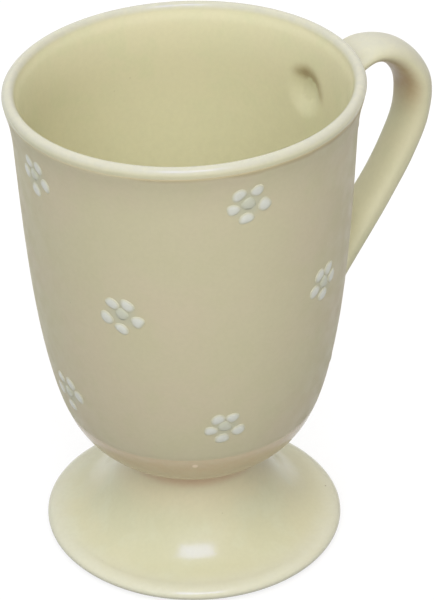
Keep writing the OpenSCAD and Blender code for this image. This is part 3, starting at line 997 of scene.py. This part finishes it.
# name, turn about the mug from the camera, height angle, size, watts, colour and what takes its
# light: the broad ones stand for light off the room, so the glaze mirrors only the white room and
# the window
SOFTBOXES = [
    ("low_box", 5, 8, (1.8, 0.6), 5.4, PLAIN, "paint"),
    ("front_box", 0, 38, (1.8, 0.9), 10.6, PLAIN, "paint"),
    ("high_box", 0, 56, (1.8, 0.9), 9.0, PLAIN, "paint"),
    ("top_box", 0, 84, (1.8, 1.6), 7.4, PLAIN, "paint"),
    ("right_high_box", 95, 72, (1.2, 1.0), 4.2, WARM, "paint"),
    ("window_box", -1, 61, (0.7, 0.5), 11.0, SKY, "gloss"),
    ("left_box", -100, 36, (1.2, 1.2), 6.0, DAY, "paint"),
    ("back_left_box", -145, 40, (1.2, 1.2), 2.1, PLAIN, "paint"),
    ("back_right_box", 155, 40, (1.2, 1.2), 1.4, WARM, "paint"),
    ("back_box", 180, 40, (1.6, 1.0), 5.0, PLAIN, "paint"),
]
for box_name, az, el, size, watts, color, taken in SOFTBOXES:
    az, el = math.radians(az), math.radians(el)
    away = BOX_AWAY * math.cos(el)
    place = turned(away * math.sin(az), -away * math.cos(az), AIM_Z + BOX_AWAY * math.sin(el))
    box = softbox(box_name, place, turned(0, 0, AIM_Z), size, watts, color)
    box.visible_glossy = taken != "paint"
    box.visible_diffuse = taken != "gloss"

# the world: white to the camera and in reflections, a dim warm room as light
ROOM_COLOR, ROOM_LIGHT = (1.0, 0.94, 0.89, 1), 0.2
world = bpy.data.worlds.new("studio")
bpy.context.scene.world = world
world.use_nodes = True
wt = world.node_tree
wt.nodes.clear()
w_out = wt.nodes.new("ShaderNodeOutputWorld")
room = wt.nodes.new("ShaderNodeBackground")
room.inputs["Color"].default_value = ROOM_COLOR
room.inputs["Strength"].default_value = ROOM_LIGHT
white = wt.nodes.new("ShaderNodeBackground")
white.inputs["Strength"].default_value = 1.0
w_path = wt.nodes.new("ShaderNodeLightPath")
w_mix = wt.nodes.new("ShaderNodeMixShader")
w_seen = []
for _ in range(2):
    w_seen.append(wt.nodes.new("ShaderNodeMath"))
    w_seen[-1].operation = "MAXIMUM"
wt.links.new(w_path.outputs["Is Camera Ray"], w_seen[0].inputs[0])
wt.links.new(w_path.outputs["Is Transmission Ray"], w_seen[0].inputs[1])
wt.links.new(w_seen[0].outputs[0], w_seen[1].inputs[0])
wt.links.new(w_path.outputs["Is Glossy Ray"], w_seen[1].inputs[1])
wt.links.new(w_seen[1].outputs[0], w_mix.inputs[0])
wt.links.new(room.outputs[0], w_mix.inputs[1])
wt.links.new(white.outputs[0], w_mix.inputs[2])
wt.links.new(w_mix.outputs[0], w_out.inputs["Surface"])

# the camera: its focal length and the target's place in pixels of the 434 x 600 frame, its sensor
# in millimetres, how far off the target it stands in metres, how high, and how far it leans
WIDTH, HEIGHT, FOCAL, SENSOR = 434.0, 600.0, 2759.0, 36.0
DISTANCE, RISE, ROLL = 0.7073, math.radians(32.13), math.radians(1.45)
TARGET_PX, TARGET_Z = (189.1, 285.3), 0.0726
target = turned(0, 0, TARGET_Z)
stand = turned(0, -DISTANCE * math.cos(RISE), TARGET_Z + DISTANCE * math.sin(RISE))
forward = (target - stand).normalized()
level = turned(1, 0, 0) - turned(0, 0, 0)
below = forward.cross(level)
right = math.cos(ROLL) * level + math.sin(ROLL) * below
down = -math.sin(ROLL) * level + math.cos(ROLL) * below
off_x, off_y = (TARGET_PX[0] - WIDTH / 2) / FOCAL, (TARGET_PX[1] - HEIGHT / 2) / FOCAL
# turn the camera so that the target lands on its pixel
turn_to = Vector((0, 0, 1)).rotation_difference(Vector((off_x, off_y, 1)).normalized())
axes = turn_to.to_matrix() @ Matrix((right, down, forward))
view = Matrix((axes[0], -axes[1], -axes[2])).transposed()
cam_data = bpy.data.cameras.new("camera")
cam_data.sensor_fit = "HORIZONTAL"
cam_data.sensor_width = SENSOR
cam_data.lens = FOCAL / WIDTH * SENSOR
cam_data.clip_start, cam_data.clip_end = 0.05, 20.0
camera = bpy.data.objects.new("camera", cam_data)
bpy.context.scene.collection.objects.link(camera)
camera.matrix_world = Matrix.Translation(stand) @ view.to_4x4()
bpy.context.scene.camera = camera

bpy.context.scene.view_settings.view_transform = "Standard"
